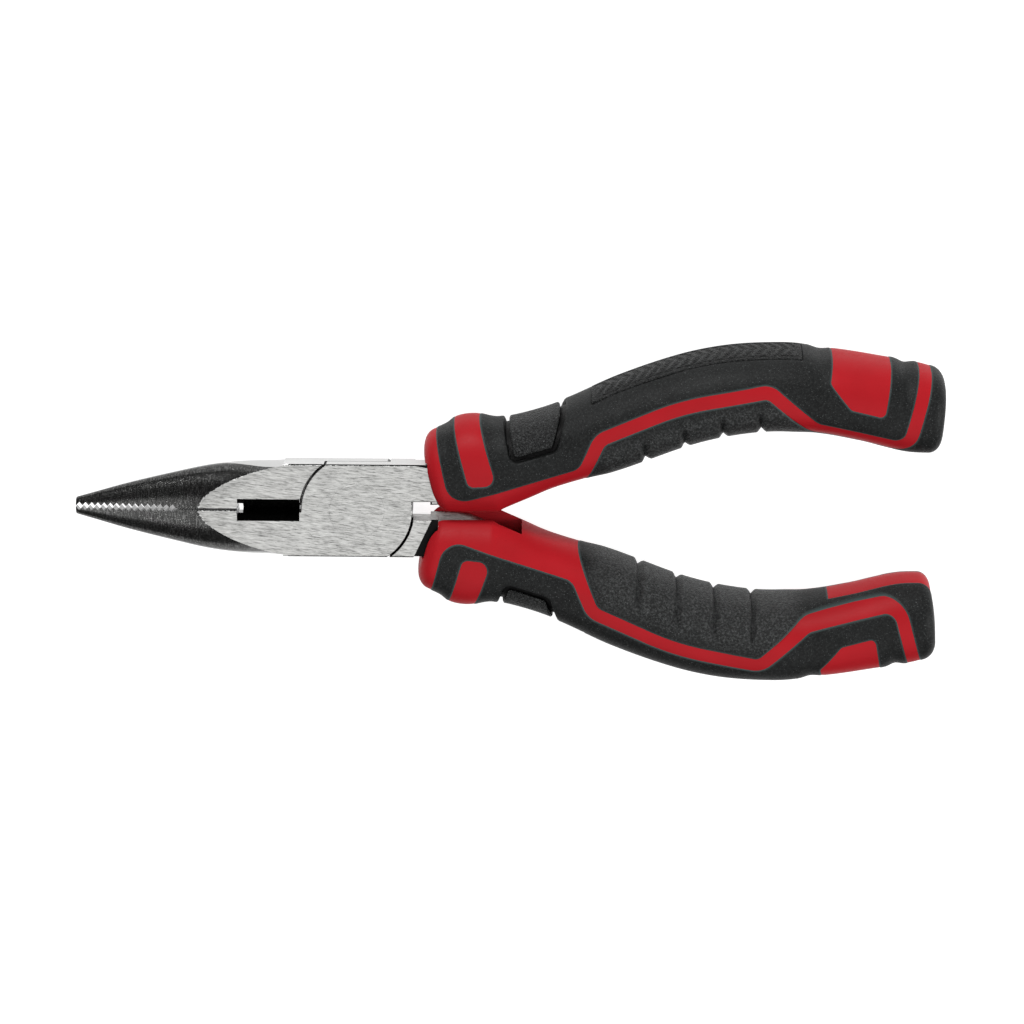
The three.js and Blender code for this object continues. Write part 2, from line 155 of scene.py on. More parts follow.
def through(points):
    """A smooth function y(x) through the points, for arrays or numbers."""
    xs = np.array([p[0] for p in points], float)
    ys = np.array([p[1] for p in points], float)
    low = np.maximum(np.arange(len(xs)) - 1, 0)
    high = np.minimum(np.arange(len(xs)) + 1, len(xs) - 1)
    slope = (ys[high] - ys[low]) / (xs[high] - xs[low])

    def at(x):
        k = np.clip(np.searchsorted(xs, x, side="right") - 1, 0, len(xs) - 2)
        w = xs[k + 1] - xs[k]
        t = (x - xs[k]) / w
        s = 1 - t
        return (ys[k] * (1 + 2 * t) * s * s + slope[k] * w * t * s * s
                + ys[k + 1] * (1 + 2 * s) * t * t - slope[k + 1] * w * s * t * t)

    return at


def rounded(corners, steps=10):
    """Points along a polyline whose corners are rounded to their radii."""
    points = []
    for i, (x, y, radius) in enumerate(corners):
        at = Vector((x, y))
        if not radius:
            points.append(at)
            continue
        back = (Vector(corners[i - 1][:2]) - at).normalized()
        ahead = (Vector(corners[i + 1][:2]) - at).normalized()
        half = back.angle(ahead) / 2
        middle = at + (back + ahead).normalized() * (radius / math.sin(half))
        start = at + back * (radius / math.tan(half)) - middle
        turn = math.copysign(math.pi - 2 * half, -back.cross(ahead))
        for s in range(steps + 1):
            points.append(middle + Matrix.Rotation(turn * s / steps, 2) @ start)
    return points


def besides(corners, d):
    """Corners moved sideways by d to the left of their direction; arcs stay concentric."""
    moved = []
    for i, (x, y, radius) in enumerate(corners):
        at = Vector((x, y))
        into = (at - Vector(corners[i - 1][:2])).normalized() if i > 0 else None
        out = (Vector(corners[i + 1][:2]) - at).normalized() if i + 1 < len(corners) else None
        a = into or out
        b = out or into
        miter = d / (1 + a.dot(b))
        left = math.copysign(1, a.cross(b))
        moved.append((x - (a.y + b.y) * miter, y + (a.x + b.x) * miter, radius - d * left if radius else 0))
    return moved


def inside_distance(outline, px, py):
    """Signed distance from points to a closed outline, positive inside."""
    a = np.array([tuple(p) for p in outline], float)
    b = np.roll(a, -1, axis=0)
    best = np.full(px.shape, 1e9)
    inside = np.zeros(px.shape, bool)
    for (ax, ay), (bx, by) in zip(a, b):
        ex = bx - ax
        ey = by - ay
        t = np.clip(((px - ax) * ex + (py - ay) * ey) / (ex * ex + ey * ey + 1e-12), 0, 1)
        best = np.minimum(best, np.hypot(px - ax - t * ex, py - ay - t * ey))
        if ay != by:
            crosses = (ay > py) != (by > py)
            inside ^= crosses & (px < ex * (py - ay) / ey + ax)
    return np.where(inside, best, -best)


def smooth_step(low, high, value):
    """Zero below low and one above high, with a smooth rise between."""
    t = np.clip((value - low) / (high - low), 0, 1)
    return t * t * (3 - 2 * t)


# ---- Mesh helpers ----

def bmesh_of(vertices, faces):
    bm = bmesh.new()
    verts = [bm.verts.new(v) for v in vertices]
    for face in faces:
        bm.faces.new([verts[i] for i in face])
    return bm


def mesh_object(name, vertices, faces):
    """A mesh object from vertices in millimetres about the mid-plane."""
    bm = bmesh_of(vertices, faces)
    bmesh.ops.recalc_face_normals(bm, faces=bm.faces)
    return object_of(bm, name)


def object_of(bm, name):
    """A new object from a bmesh, which is freed."""
    mesh = bpy.data.meshes.new(name)
    bm.to_mesh(mesh)
    bm.free()
    obj = bpy.data.objects.new(name, mesh)
    bpy.context.collection.objects.link(obj)
    return obj


def leaning(lean):
    """A matrix that slides Y by lean for each unit of Z."""
    matrix = Matrix.Identity(4)
    matrix[1][2] = lean
    return matrix


def to_frame(obj, turned=False):
    """Moves the mesh from millimetres about the mid-plane into the CAD frame, in metres."""
    turn = Matrix.Rotation(math.pi, 4, "X") if turned else Matrix.Identity(4)
    obj.data.transform(Matrix.Translation((0, 0, MID_Z)) @ turn @ Matrix.Scale(MM, 4))
    obj.data.update()
    return obj


def copy_of(obj, name):
    """A second object with its own copy of the mesh."""
    twin = bpy.data.objects.new(name, obj.data.copy())
    bpy.context.collection.objects.link(twin)
    return twin


def rings_mesh(rings):
    """Vertices and faces of a closed skin over rings of points."""
    n = len(rings[0])
    vertices = np.concatenate(rings)
    faces = []
    for r in range(len(rings) - 1):
        for i in range(n):
            a = r * n + i
            b = r * n + (i + 1) % n
            faces.append((a, b, b + n, a + n))
    faces.append(tuple(reversed(range(n))))
    faces.append(tuple(range((len(rings) - 1) * n, len(rings) * n)))
    return vertices, faces


def shrunk(outline, inset):
    """A counter-clockwise outline moved inwards, with its sharpest corners cut short."""
    moved = []
    for i, p in enumerate(outline):
        a = (p - outline[i - 1]).normalized()
        b = (outline[(i + 1) % len(outline)] - p).normalized()
        normal = Vector((-(a.y + b.y), a.x + b.x))
        moved.append(p + normal * (inset / (1 + max(a.dot(b), -0.5))))
    return moved


def prism_object(name, outline, z0, z1, chamfer=0.0):
    """An outline extruded from z0 to z1 with chamfered rims."""
    flat = [Vector(p[:2]) for p in outline]
    area = sum(a.cross(b) for a, b in zip(flat, flat[1:] + flat[:1]))
    if area < 0:
        flat.reverse()
    levels = [(flat, z0 + chamfer), (flat, z1 - chamfer)]
    if chamfer:
        small = shrunk(flat, chamfer)
        levels = [(small, z0), *levels, (small, z1)]
    rings = [np.array([(p.x, p.y, z) for p in points]) for points, z in levels]
    vertices, faces = rings_mesh(rings)
    return mesh_object(name, vertices, faces)


def box_object(name, low, high):
    outline = [(low[0], low[1]), (high[0], low[1]), (high[0], high[1]), (low[0], high[1])]
    return prism_object(name, outline, low[2], high[2])


def applied(obj):
    """Applies the object's modifiers to its mesh."""
    bpy.context.view_layer.update()
    evaluated = obj.evaluated_get(bpy.context.evaluated_depsgraph_get())
    mesh = bpy.data.meshes.new_from_object(evaluated)
    obj.modifiers.clear()
    obj.data = mesh
    return obj


def boolean(obj, other, operation):
    """Joins, cuts or intersects obj with other, and removes other."""
    modifier = obj.modifiers.new("cut", "BOOLEAN")
    modifier.object = other
    modifier.operation = operation
    modifier.solver = "MANIFOLD"
    applied(obj)
    bpy.data.objects.remove(other)
    return obj


def shade(obj, angle=30):
    """Smooth shading that stays sharp at edges over the angle."""
    obj.data.shade_smooth()
    obj.data.set_sharp_from_angle(angle=math.radians(angle))
    return obj


def superellipse(count, power):
    """Two arrays, the offsets in Y and in Z of points round a superellipse of half width one."""
    angles = np.arange(count) * 2 * math.pi / count
    c = np.cos(angles)
    s = np.sin(angles)
    return np.sign(c) * np.abs(c) ** (2 / power), np.sign(s) * np.abs(s) ** (2 / power)


# ---- Materials ----

class Nodes:
    """Short names for building a node material."""

    def __init__(self, name, **sockets):
        self.material = bpy.data.materials.new(name)
        self.material.use_nodes = True
        self.tree = self.material.node_tree
        self.shader = self.tree.nodes["Principled BSDF"]
        for socket, value in sockets.items():
            self.shader.inputs[socket.replace("_", " ")].default_value = value
        self.place = self.add("ShaderNodeTexCoord").outputs["Object"]

    def add(self, kind, **settings):
        node = self.tree.nodes.new(kind)
        for key, value in settings.items():
            setattr(node, key, value)
        return node

    def join(self, value, socket):
        if isinstance(value, bpy.types.NodeSocket):
            self.tree.links.new(value, socket)
        else:
            socket.default_value = value

    def grained(self, sizes, turn=0.0):
        """Texture coordinates for marks of the given sizes in metres, turned about Z."""
        node = self.add("ShaderNodeMapping", vector_type="TEXTURE")
        self.join(self.place, node.inputs["Vector"])
        node.inputs["Scale"].default_value = sizes
        node.inputs["Rotation"].default_value = (0, 0, turn)
        return node.outputs["Vector"]

    def height(self):
        """Distance of a point from the tool's mid-plane, in metres."""
        return self.math("ABSOLUTE", self.math("SUBTRACT", self.axis("Z"), MID_Z))

    def axis(self, name):
        parts = self.add("ShaderNodeSeparateXYZ")
        self.join(self.place, parts.inputs[0])
        return parts.outputs[name]

    def width(self):
        """Distance of a point from the line through the jaws, in metres."""
        return self.math("ABSOLUTE", self.axis("Y"))

    def side_face(self):
        """One on the ground sides of the joint, zero elsewhere."""
        return self.math("GREATER_THAN", self.width(), (JOINT_HALF_WIDTH - SIDE_TOLERANCE) * MM)

    def nose_side(self):
        """One on the facet ground along each side of the nose, which widens towards the joint."""
        along = self.math("SUBTRACT", self.axis("X"), FACET_START * MM)
        widening = self.math("MULTIPLY", along, FACET_SLOPE)
        on_facet = self.math("GREATER_THAN", widening, self.height())
        on_nose = self.math("LESS_THAN", self.axis("X"), (JOINT_X + 1) * MM)
        off_middle = self.math("GREATER_THAN", self.width(), FACET_FROM_MIDDLE * MM)
        return self.math("MULTIPLY", self.math("MULTIPLY", on_facet, on_nose), off_middle)

    def noise(self, scale, detail, rough, where=None):
        node = self.add("ShaderNodeTexNoise")
        self.join(where or self.place, node.inputs["Vector"])
        node.inputs["Scale"].default_value = scale
        node.inputs["Detail"].default_value = detail
        node.inputs["Roughness"].default_value = rough
        return node.outputs["Fac"]

    def cells(self, scale):
        """Distance to the borders of irregular cells."""
        node = self.add("ShaderNodeTexVoronoi", feature="DISTANCE_TO_EDGE")
        self.join(self.place, node.inputs["Vector"])
        node.inputs["Scale"].default_value = scale
        return node.outputs["Distance"]

    def ramp(self, value, stops):
        """Maps a value through (position, colour or grey) stops."""
        node = self.add("ShaderNodeValToRGB")
        self.join(value, node.inputs["Fac"])
        elements = node.color_ramp.elements
        while len(elements) < len(stops):
            elements.new(0.5)
        for element, (position, colour) in zip(elements, stops):
            element.position = position
            grey = isinstance(colour, (int, float))
            element.color = (colour, colour, colour, 1) if grey else (*colour, 1)
        return node.outputs["Color"]

    def math(self, operation, a, b=0.0):
        node = self.add("ShaderNodeMath", operation=operation)
        self.join(a, node.inputs[0])
        self.join(b, node.inputs[1])
        return node.outputs[0]

    def mix(self, factor, a, b, blend="MIX"):
        node = self.add("ShaderNodeMix", data_type="RGBA", blend_type=blend)
        self.join(factor, node.inputs["Factor"])
        for value, socket in ((a, node.inputs[6]), (b, node.inputs[7])):
            plain = isinstance(value, tuple) and len(value) == 3
            self.join((*value, 1) if plain else value, socket)
        return node.outputs[2]

    def attribute(self, name):
        return self.add("ShaderNodeAttribute", attribute_name=name).outputs["Fac"]

    def bump(self, height, distance, strength=1.0):
        node = self.add("ShaderNodeBump")
        self.join(height, node.inputs["Height"])
        node.inputs["Distance"].default_value = distance
        node.inputs["Strength"].default_value = strength
        return node.outputs["Normal"]

    def finish(self, colour, roughness=None, normal=None):
        for value, socket in ((colour, "Base Color"), (roughness, "Roughness"), (normal, "Normal")):
            if value is not None:
                self.join(value, self.shader.inputs[socket])
        return self.material


BRUSH_TURN = -0.11  # of the grinding marks about Z, radians


def ground_steel():
    """Belt-ground faces: fine streaks nearly along the tool, a few darker scratches, pits and stains."""
    n = Nodes("ground_steel", Metallic=1.0)
    streaks = n.noise(1.0, 6, 0.72, n.grained((0.0018, 0.00014, 0.0004), BRUSH_TURN))
    cloud = n.noise(1.0, 4, 0.65, n.grained((0.005, 0.0016, 0.003), BRUSH_TURN))
    scratches = n.noise(1.0, 2, 0.5, n.grained((0.003, 0.00025, 0.001), BRUSH_TURN))
    pits = n.noise(1.0, 3, 0.6, n.grained((0.0006, 0.0003, 0.0004), BRUSH_TURN))
    tone = n.ramp(streaks, [(0.36, (0.1, 0.1, 0.1)), (0.47, (0.33, 0.33, 0.32)), (0.64, (0.5, 0.5, 0.49))])
    tone = n.mix(0.6, tone, n.ramp(cloud, [(0.36, 0.55), (0.56, 1.0)]), "MULTIPLY")
    tone = n.mix(0.6, tone, n.ramp(scratches, [(0.3, 0.2), (0.38, 1.0)]), "MULTIPLY")
    tone = n.mix(0.7, tone, n.ramp(pits, [(0.25, 0.1), (0.31, 1.0)]), "MULTIPLY")
    # Painted highlight: the ground sides of the joint get a paler, even tone, for the light they catch from
    # the floor.
    tone = n.mix(n.side_face(), tone, (0.55, 0.55, 0.545))
    rough = n.ramp(cloud, [(0.35, 0.32), (0.65, 0.44)])
    return n.finish(tone, rough, n.bump(streaks, 0.00002, 0.5))


def black_steel():
    """Black-oxide forging skin: nearly black, satin, speckled, brushed across near the jaws' parting."""
    n = Nodes("black_steel", Metallic=1.0)
    grain = n.noise(5200, 3, 0.6)
    cloud = n.noise(2600, 4, 0.7)
    hairs = n.noise(1.0, 4, 0.7, n.grained((0.00016, 0.0016, 0.001)))
    colour = n.ramp(grain, [(0.36, (0.02, 0.02, 0.02)), (0.6, (0.05, 0.05, 0.049)), (0.72, (0.4, 0.4, 0.39))])
    colour = n.mix(n.ramp(hairs, [(0.5, 0.0), (0.66, 0.7)]), colour, (0.17, 0.17, 0.168))
    drop = n.math("SUBTRACT", THICKNESS / 2 * MM, n.height())
    reach = n.math("MULTIPLY", n.ramp(cloud, [(0.45, 0.0), (0.7, 1.0)]), 0.00012)
    worn = n.math("MAXIMUM", n.math("GREATER_THAN", reach, drop), n.nose_side())
    # Painted shade: behind the joint the colour drops to near black, for the shadow between the grip's collar
    # and the root; the surface is also made rougher there.
    behind_joint = n.math("GREATER_THAN", n.axis("X"), SHOULDER_RADIUS * MM / 2)
    tone = n.mix(worn, n.mix(behind_joint, colour, (0.006, 0.006, 0.006)), (0.5, 0.5, 0.495))
    matte = n.math("MULTIPLY", n.math("MAXIMUM", behind_joint, worn), 0.2)
    rough = n.math("ADD", n.ramp(cloud, [(0.35, 0.17), (0.65, 0.25)]), matte)
    return n.finish(tone, rough, n.bump(grain, 0.00001, 0.6))


def red_plastic():
    """Satin hard plastic with a very fine moulded grain."""
    n = Nodes("red_plastic", Specular_IOR_Level=0.08)
    cloud = n.noise(120, 3, 0.5)
    grain = n.noise(4200, 2, 0.5)
    colour = n.ramp(cloud, [(0.3, (0.3, 0.007, 0.011)), (0.7, (0.34, 0.008, 0.013))])
    rough = n.ramp(grain, [(0.3, 0.4), (0.7, 0.52)])
    return n.finish(colour, rough, n.bump(grain, 0.00002, 0.4))


def black_rubber(name, grain_size, depth, cell_share=0.0):
    """Matte rubber with a spark-eroded grain, thinner at its edges, where a paler band is a painted
    highlight; the pad's groove is darkened as painted shade.
    """
    n = Nodes(name)
    n.join(n.ramp(n.attribute("grain"), [(0.25, 0.1), (1.0, 0.2)]), n.shader.inputs["Specular IOR Level"])
    grain = n.noise(grain_size, 3, 0.6)
    cloud = n.noise(180, 3, 0.6)
    base = n.ramp(cloud, [(0.3, (0.005, 0.0054, 0.0054)), (0.7, (0.009, 0.0096, 0.0096))])
    spots = n.ramp(n.noise(2300, 3, 0.7), [(0.45, 0.0), (0.7, 0.7)])
    mottle = n.math("MULTIPLY", spots, n.attribute("grain"))
    sparkle = n.ramp(n.noise(5200, 2, 0.5), [(0.67, 0.0), (0.72, 0.6)])
    mottled = n.mix(mottle, base, (0.07, 0.073, 0.073))
    dusted = n.mix(sparkle, mottled, (0.16, 0.17, 0.17))
    # Painted highlight: a paler, teal band along each skin's edge, for the light caught by its rounded rim.
    rim = n.ramp(n.attribute("edge"), [(0.0, 1.0), (0.45, 0.0)])
    colour = n.mix(n.math("MULTIPLY", rim, 0.8), dusted, (0.05, 0.075, 0.075))
    height = n.math("MULTIPLY", grain, n.attribute("grain"))
    if cell_share:
        cells = n.cells(1500)
        height = n.math("ADD", height, n.math("MULTIPLY", cells, cell_share))
        # Painted shade: the borders between the cells are darkened, for the shade in their crevices.
        colour = n.mix(0.8, colour, n.ramp(cells, [(0.0, 0.1), (0.2, 1.0)]), "MULTIPLY")
    # Painted shade: where the groove_shade attribute is set, around the thumb pad, the colour goes nearly
    # black.
    colour = n.mix(n.attribute("groove_shade"), colour, (0.001, 0.001, 0.001))
    rough = n.ramp(grain, [(0.3, 0.42), (0.7, 0.56)])
    return n.finish(colour, rough, n.bump(height, depth))


# ---- Levers ----

def pivot_arc(radius, start, end, steps=28):
    angles = np.radians(np.linspace(start, end, steps + 1))
    return [(radius * math.cos(a), radius * math.sin(a)) for a in angles]


def head_blank():
    """The forged head before it is split: a half-round nose that runs into the ground joint."""
    width = through(NOSE_HALF_WIDTH)
    depth = through(NOSE_HALF_DEPTH)
    cy, cz = superellipse(128, 2.0)
    tip = [(TIP_X, 0.9), (TIP_X + 0.1, 0.97), (TIP_X + 0.3, 1.0)]
    stations = [(x, 1.0) for x in np.linspace(TIP_X + 0.6, JOINT_X, 90)]
    rings = []
    for x, shrink in tip + stations:
        rings.append(np.stack([np.full(cy.shape, x), width(x) * shrink * cy, depth(x) * shrink * cz], axis=1))
    nose = mesh_object("nose", *rings_mesh(rings))
    half = THICKNESS / 2
    side = JOINT_HALF_WIDTH
    low = half - JOINT_CHAMFER
    near = side - JOINT_CHAMFER
    section = [(-half, -near), (-low, -side), (low, -side), (half, -near),
               (half, near), (low, side), (-low, side), (-half, near)]
    ends = [np.array([(x, y, z) for z, y in section]) for x in (JOINT_X - 0.01, ROOT_END)]
    joint = mesh_object("joint", *rings_mesh(ends))
    blank = boolean(joint, nose, "UNION")
    slab = box_object("slab", (TIP_X - 1, -FAR, -half), (ROOT_END + 1, FAR, half))
    return boolean(blank, slab, "INTERSECT")


def jaw_outline():
    """Lower jaw from the front: toothed gripping face, parting face and the shoulder arc."""
    points = [(TIP_X - 1, -FACE_GAP)]
    for i in range(TEETH_COUNT):
        x = TEETH_START + i * TOOTH_PITCH
        points.append((x, -FACE_GAP))
        points.append((x + TOOTH_PITCH / 2, -FACE_GAP - TOOTH_DEPTH))
    end = TEETH_START + TEETH_COUNT * TOOTH_PITCH
    low = -JOINT_HALF_WIDTH - 1
    points += [(end, -FACE_GAP), (CUTTER_FROM, -FACE_GAP), (CUTTER_FROM + 0.01, EDGE_OVERLAP)]
    points += [(-SHOULDER_RADIUS, EDGE_OVERLAP)] + pivot_arc(SHOULDER_RADIUS, *JAW_SHOULDER)
    points += [(-SHOULDER_OUTER_X, low), (TIP_X - 1, low)]
    return points


def lap_outline():
    """Front half lap: a disc against the other lever's shoulders that runs into its own jaw and tang."""
    disc = SHOULDER_RADIUS - GAP
    side = JOINT_HALF_WIDTH + 1
    overlap = SHOULDER_RADIUS + 2
    corner = math.degrees(math.asin(JOINT_HALF_WIDTH / disc))
    edge = disc * math.cos(math.radians(corner))
    points = [(-overlap, -GAP)] + pivot_arc(disc, JAW_SHOULDER[0], 180 - corner)
    points += [(-edge, side), (overlap, side), (overlap, ROOT_INNER)]
    points += pivot_arc(disc, TANG_SHOULDER[0], -corner)
    points += [(edge, -side), (-overlap, -side)]
    return points


def root_outline():
    """Full-thickness root of the tang, outside the other lever's lap."""
    side = JOINT_HALF_WIDTH + 1
    corners = [(SHOULDER_OUTER_X, side), (ROOT_END, side), (ROOT_END, ROOT_INNER)]
    return pivot_arc(SHOULDER_RADIUS, *TANG_SHOULDER) + corners


def tang_outline(grow=0.0):
    line = through(TANG_LINE)
    xs = np.linspace(TANG_LINE[0][0] - grow, TANG_LINE[-1][0] + grow, 40)
    halves = np.interp(xs, (xs[0], xs[-1]), TANG_HALF_WIDTHS) + grow
    low = [(x, line(x) - h) for x, h in zip(xs, halves)]
    high = [(x, line(x) + h) for x, h in zip(xs, halves)]
    return low + high[::-1]


def cutter_recess():
    """What the side cutter's bevels and its relief hole take away from the lower jaw."""
    half = THICKNESS / 2
    section = [(half + 1, CUTTER_FLARE), (-half - 1, CUTTER_FLARE), (-half - 1, -CUTTER_FLARE),
               (-half, -CUTTER_FLARE), (0, EDGE_OVERLAP), (half, -CUTTER_FLARE), (half + 1, -CUTTER_FLARE)]
    rings = [np.array([(x, y, z) for z, y in section]) for x in (CUTTER_FROM, -SHOULDER_RADIUS)]
    groove = mesh_object("groove", *rings_mesh(rings))
    low = (CUTTER_FROM - 0.1, -RELIEF_HALF_WIDTH, -half - 0.1)
    high = (CUTTER_FROM + CUTTER_RELIEF, RELIEF_HALF_WIDTH, half + 0.1)
    relief = box_object("relief", low, high)
    return boolean(groove, relief, "UNION")


def rivet_object(name, grow=0.0, chamfer=0.0):
    """Rivet with countersunk heads; the hole is the same shape, grown."""
    half = THICKNESS / 2 + grow
    shoulder = THICKNESS / 2 - RIVET_HEAD_DEPTH + grow
    head = RIVET_RADIUS + grow
    shank = RIVET_SHANK + grow
    profile = [(-half, head - chamfer), (-half + chamfer, head), (-shoulder, shank), (shoulder, shank),
               (half - chamfer, head), (half, head - chamfer)]
    angles = np.linspace(0, 2 * math.pi, 96, endpoint=False)
    circle = np.stack([np.cos(angles), np.sin(angles), np.zeros(angles.shape)], axis=1)
    rings = [circle * r + (0, 0, z) for z, r in profile]
    return mesh_object(name, *rings_mesh(rings))


def near_step():
    """The shallow step in the near face beside the grip, where the forging was left unground."""
    half = THICKNESS / 2
    side = JOINT_HALF_WIDTH
    end = ROOT_END + 1
    outline = [(9.3, side + 1), (9.3, side + 0.12), (14.5, side - 0.8), (end, side - 1.1), (end, side + 1)]
    return prism_object("step", outline, half - NEAR_STEP_DEPTH, half + 1)


def far_step():
    """What the root loses at the far face, so that it thins to the depth of the tang."""
    half = THICKNESS / 2
    side = JOINT_HALF_WIDTH
    end = ROOT_END + 1
    outline = [(ROOT_STEP_INNER, 1), (ROOT_STEP_OUTER, side + 1), (end, side + 1), (end, 1)]
    return prism_object("step", outline, -half - 1, -TANG_HALF_DEPTH)


def forged_lever(name):
    """Front lever: lower jaw, front half lap and upper tang."""
    half = THICKNESS / 2
    plates = [(jaw_outline(), -half), (lap_outline(), FACE_GAP), (root_outline(), -half)]
    jaw, lap, root = [
        boolean(head_blank(), prism_object("plate", outline, low, half, LEVER_CHAMFER), "INTERSECT")
        for outline, low in plates
    ]
    tang = prism_object("tang", tang_outline(), -TANG_HALF_DEPTH, TANG_HALF_DEPTH, TANG_CHAMFER)
    tang.data.transform(leaning(-CANT))
    lever = jaw
    for part in (lap, root, tang):
        lever = boolean(lever, part, "UNION")
    for cut in (cutter_recess(), rivet_object("hole", HOLE_CLEARANCE), far_step(), near_step()):
        lever = boolean(lever, cut, "DIFFERENCE")
    lever.name = name
    paint_lever(lever)
    return shade(lever, 20)


def paint_lever(lever):
    """Ground steel on the flat faces and sides of the joint, black oxide on the rest."""
    half = THICKNESS / 2
    lever.data.materials.clear()
    lever.data.materials.append(black_steel())
    lever.data.materials.append(ground_steel())
    for face in lever.data.polygons:
        x, y, z = face.center
        on_face = abs(abs(z) - half) < FACE_TOLERANCE and abs(face.normal.z) > 0.99
        beside = abs(abs(y) - JOINT_HALF_WIDTH) < SIDE_TOLERANCE
        on_side = x > JOINT_X and beside and abs(face.normal.y) > 0.9
        inner_edge = x > SHOULDER_RADIUS and face.normal.y < -0.7
        face.material_index = 1 if on_face or on_side or inner_edge or x > ROOT_END else 0


def make_levers():
    front = forged_lever("lever_front_forging")
    back = copy_of(front, "lever_back_forging")
    for obj, body, node, turned in ((front, FRONT, "lever_front", False), (back, BACK, "lever_back", True)):
        to_frame(obj, turned)
        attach(obj, body)
        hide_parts(node)
    rivet = shade(rivet_object("rivet_ground", chamfer=RIVET_CHAMFER), 20)
    rivet.data.materials.append(ground_steel())
    to_frame(rivet)
    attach(rivet, BACK)
    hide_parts("pivot_rivet")


# ---- Grip ----

RING_POINTS = 176
STATIONS = 300
CAP_SHARES = (0.15, 0.32, 0.5, 0.68, 0.85, 0.96)  # of the way from an end face's rim to its middle
CUT_LEVELS = {  # distances to a field's edge along which the surface is cut
    "back": (0.0, 0.15, 0.45),
    "finger": (0.0, 0.15, 0.45),
    "pad": (-PAD_GROOVE, 0.0, 0.2),
    "panel": (0.0, 0.25),
}


def grip_section(x, pinch=0.0):
    outer = through(OUTER)
    inner = through(INNER)
    depth = through(HALF_DEPTH)
    middle = (outer(x) + inner(x)) / 2
    near_front = max(0.0, 1 - (x - GRIP_FRONT) / LEAN_LENGTH)
    near_end = max(0.0, 1 - (GRIP_END - x) / LEAN_LENGTH)
    lean = FRONT_LEAN * near_front + END_LEAN * near_end
    half_width = (outer(x) - inner(x)) / 2 - pinch
    half_depth = depth(x) - pinch
    cy, cz = superellipse(RING_POINTS, GRIP_POWER)
    return np.stack([x + lean * half_width * cy, middle + half_width * cy, half_depth * cz], axis=1)


def end_cap(ring, bulge):
    """Rings that close an end face, from its rim towards its middle."""
    centre = ring.mean(axis=0)
    rings = []
    for t in CAP_SHARES:
        swell = np.array([bulge * math.sin(t * math.pi / 2), 0, 0])
        rings.append(ring * (1 - t) + centre * t + swell)
    return rings


def grip_rings():
    edge = GRIP_EDGE
    turns = np.radians(np.linspace(0, 90, 9))[:-1]
    rounding = [(edge * (1 - math.cos(a)), edge * (1 - math.sin(a))) for a in turns]
    rings = [grip_section(GRIP_FRONT + reach, pinch) for reach, pinch in rounding]
    rings = end_cap(rings[0], 0)[::-1] + rings
    rings += [grip_section(x) for x in np.linspace(GRIP_FRONT + edge, GRIP_END - edge, STATIONS)]
    rings += [grip_section(GRIP_END - reach, pinch) for reach, pinch in reversed(rounding)]
    return rings + end_cap(rings[-1], 0.35)


def grip_fields(co):
    """Signed distances, positive inside, of each colour field at the given points."""
    x, y, z = co.T
    past_end = GRIP_END + 10
    back_line = BACK_FRONT_EDGE + besides(STRIPE, STRIPE_WIDTH / 2)[1:]
    low_x, low_y = FINGER_LOW
    closing = [(past_end, FAR, 0), (past_end, low_y, 0), (low_x, low_y, 0)]
    finger_line = besides(STRIPE, -STRIPE_WIDTH / 2) + closing
    back = inside_distance(rounded(back_line), x, y)
    finger = inside_distance(rounded(finger_line), x, y)
    window = inside_distance(rounded(WINDOW), x, y)
    tail = inside_distance(rounded(TAIL_PANEL), x, y)
    pad = inside_distance(rounded(THUMB_PAD, 6), x, y)
    start, top, strip_depth = TAIL_STRIP
    strip = np.minimum(np.minimum(x - start, top - y), strip_depth - np.abs(z - TAIL_STRIP_MIDDLE))
    panel_start, panel_end, panel_depth = BACK_PANEL
    ends = np.minimum(x - panel_start, panel_end - x)
    panel = np.minimum(np.minimum(ends, panel_depth - np.abs(z)), y - GRIP_MIDDLE)
    back = np.minimum(np.minimum(back, -window), -tail)
    finger = np.minimum(finger, -strip)
    pad = np.minimum(pad, back)
    panel = np.minimum(panel, back)
    return {"back": back, "finger": finger, "pad": pad, "panel": panel}


def split_along(bm, layer, level):
    """Cuts the mesh along the line where the layer's value equals level."""
    crossing = []
    for edge in bm.edges:
        a = edge.verts[0][layer] - level
        b = edge.verts[1][layer] - level
        if abs(a) < 1e-5:
            edge.verts[0][layer] = level
        elif abs(b) < 1e-5:
            edge.verts[1][layer] = level
        elif a * b < 0:
            crossing.append((edge, a / (a - b)))
    fresh = []
    for edge, share in crossing:
        _, vertex = bmesh.utils.edge_split(edge, edge.verts[0], share)
        vertex[layer] = level
        fresh.append(vertex)
    # a dict and not a set, so that the faces are split in the same order each run
    for face in dict.fromkeys(face for vertex in fresh for face in vertex.link_faces):
        on_line = [v for v in face.verts if abs(v[layer] - level) < 1e-6]
        if len(on_line) == 2 and not any(e.other_vert(on_line[0]) is on_line[1] for e in on_line[0].link_edges
                                         if e.other_vert(on_line[0]) in face.verts):
            bmesh.utils.face_split(face, on_line[0], on_line[1])


def grip_surface():
    """The grip's outer surface, cut along its fields' edges, with the distances to them on its vertices."""
    vertices, faces = rings_mesh(grip_rings())
    bm = bmesh_of(vertices, faces)
    bm.normal_update()
    values = grip_fields(vertices)
    layers = {key: bm.verts.layers.float.new(key) for key in values}
    bm.verts.ensure_lookup_table()
    for key, array in values.items():
        layer = layers[key]
        for vertex, value in zip(bm.verts, array):
            vertex[layer] = float(value)
    for key, levels in CUT_LEVELS.items():
        for level in levels:
            split_along(bm, layers[key], level)
    return bm


def face_value(face, layer):
    return sum(v[layer] for v in face.verts) / len(face.verts)


